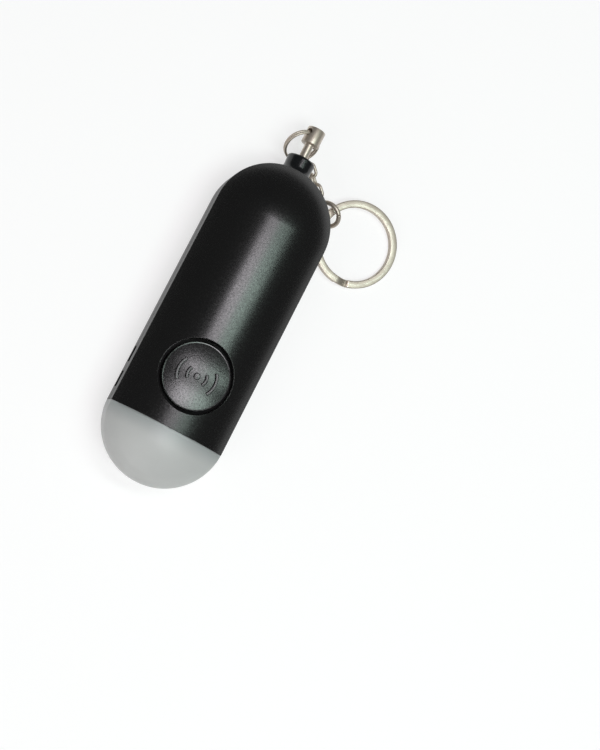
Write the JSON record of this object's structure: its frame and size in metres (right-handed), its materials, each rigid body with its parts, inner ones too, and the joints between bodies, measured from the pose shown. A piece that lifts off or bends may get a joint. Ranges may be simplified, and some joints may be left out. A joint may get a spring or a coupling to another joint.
{
  "type": "personal safety alarm",
  "caption": "Stadium-shaped pocket siren with crowned faces, frosted lamp lens at one end, sprung round push button, and a pull pin on a short chain with a key ring.",
  "frame": {"origin": "centre of the flat back, which the alarm rests on", "axes": "X across the case, +Y along the case towards the pull pin, +Z out of the front with the button"},
  "size_m": [0.055, 0.1088, 0.022],
  "materials": {
    "black_abs": "satin moulded",
    "frosted_lens": "frosted",
    "black_acetal": "smooth moulded",
    "nickel_plate": "nickel plated",
    "spring_steel": "drawn",
    "black_rubber": "smooth",
    "switch_plastic": "moulded",
    "plunger_plastic": "moulded",
    "circuit_board": "solder mask",
    "coil_copper": "enamelled wire",
    "led_lamp": "clear coated",
    "siren_plastic": "moulded",
    "disc_brass": "rolled",
    "piezo_ceramic": "silvered",
    "cell_steel": "nickel plated can",
    "lead_red": "insulated lead",
    "lead_black": "insulated lead"
  },
  "bodies": {
    "case": {"front_shell": "black_abs", "rear_shell": "black_abs", "light_lens": "frosted_lens", "button_spring": "spring_steel", "tact_switch": "switch_plastic", "pin_collar": "black_acetal", "main_board": "circuit_board", "control_chip": "switch_plastic", "driver_coil": "coil_copper", "led_board": "circuit_board", "leds": "led_lamp", "siren_cup": "siren_plastic", "piezo_disc": "disc_brass", "piezo_ceramic": "piezo_ceramic", "battery_tray": "siren_plastic", "button_cells": "cell_steel", "plus_contact": "spring_steel", "minus_contact": "spring_steel", "jack_block": "siren_plastic", "jack_contact": "disc_brass", "siren_wires": "lead_red", "battery_wires": "lead_black", "jack_wires": "lead_black", "case_screws": "spring_steel"},
    "button": {"alarm_button": "black_abs", "switch_plunger": "plunger_plastic"},
    "seal": {"pin_o_ring": "black_rubber"},
    "pin": {"pull_pin": "nickel_plate"},
    "ring": {"pin_ring": "nickel_plate"},
    "link_1": {"chain_link_1": "nickel_plate"},
    "link_2": {"chain_link_2": "nickel_plate"},
    "link_3": {"chain_link_3": "nickel_plate"},
    "link_4": {"chain_link_4": "nickel_plate"},
    "link_5": {"chain_link_5": "nickel_plate"},
    "jump": {"jump_ring": "nickel_plate"},
    "keys": {"key_ring": "nickel_plate"}
  },
  "joints": [
    {"name": "button_press", "type": "slide", "parent": "case", "child": "button", "axis": [0, 0, -1], "range_m": [0, 0.0006], "stiffness_N_per_m": 1500, "springref_m": -0.0006, "deforming": ["button_spring"]},
    {"name": "pin_pull", "type": "slide", "parent": "case", "child": "seal", "axis": [0, 1, 0], "range_m": [0, 0.02]},
    {"name": "pin_turn", "type": "hinge", "parent": "seal", "child": "pin", "pos_m": [0, 0.0595, 0.01063], "axis": [0, 1, 0], "range_deg": [0, 90]},
    {"name": "ring_swing", "type": "hinge", "parent": "pin", "child": "ring", "pos_m": [0, 0.0595, 0.01063], "axis": [0.8191, 0, -0.5736], "range_deg": [0, 95]},
    {"name": "link_1_swing", "type": "hinge", "parent": "ring", "child": "link_1", "pos_m": [0.00166, 0.05455, 0.00507], "axis": [0.597, 0.7602, 0.2563], "range_deg": [0, 30]},
    {"name": "link_2_swing", "type": "hinge", "parent": "link_1", "child": "link_2", "pos_m": [0.00366, 0.05276, 0.00475], "axis": [0.17, 0.3511, -0.9208], "range_deg": [-28, 0]},
    {"name": "link_3_swing", "type": "hinge", "parent": "link_2", "child": "link_3", "pos_m": [0.00591, 0.05073, 0.0044], "axis": [0.6396, 0.6336, 0.4354], "range_deg": [0, 30]},
    {"name": "link_4_swing", "type": "hinge", "parent": "link_3", "child": "link_4", "pos_m": [0.00816, 0.0487, 0.00404], "axis": [0.2808, 0.4603, -0.8422], "range_deg": [-28, 0]},
    {"name": "link_5_swing", "type": "hinge", "parent": "link_4", "child": "link_5", "pos_m": [0.01041, 0.04668, 0.00368], "axis": [0.5809, 0.5374, 0.6114], "range_deg": [0, 30]},
    {"name": "jump_swing", "type": "hinge", "parent": "link_5", "child": "jump", "pos_m": [0.01266, 0.04465, 0.00333], "axis": [0.4022, 0.5726, -0.7144], "range_deg": [-18, 20]},
    {"name": "keys_swing", "type": "hinge", "parent": "jump", "child": "keys", "pos_m": [0.01489, 0.04336, 0.00301], "axis": [-0.2419, -0.9703, 0], "range_deg": [-20, 10]}
  ]
}
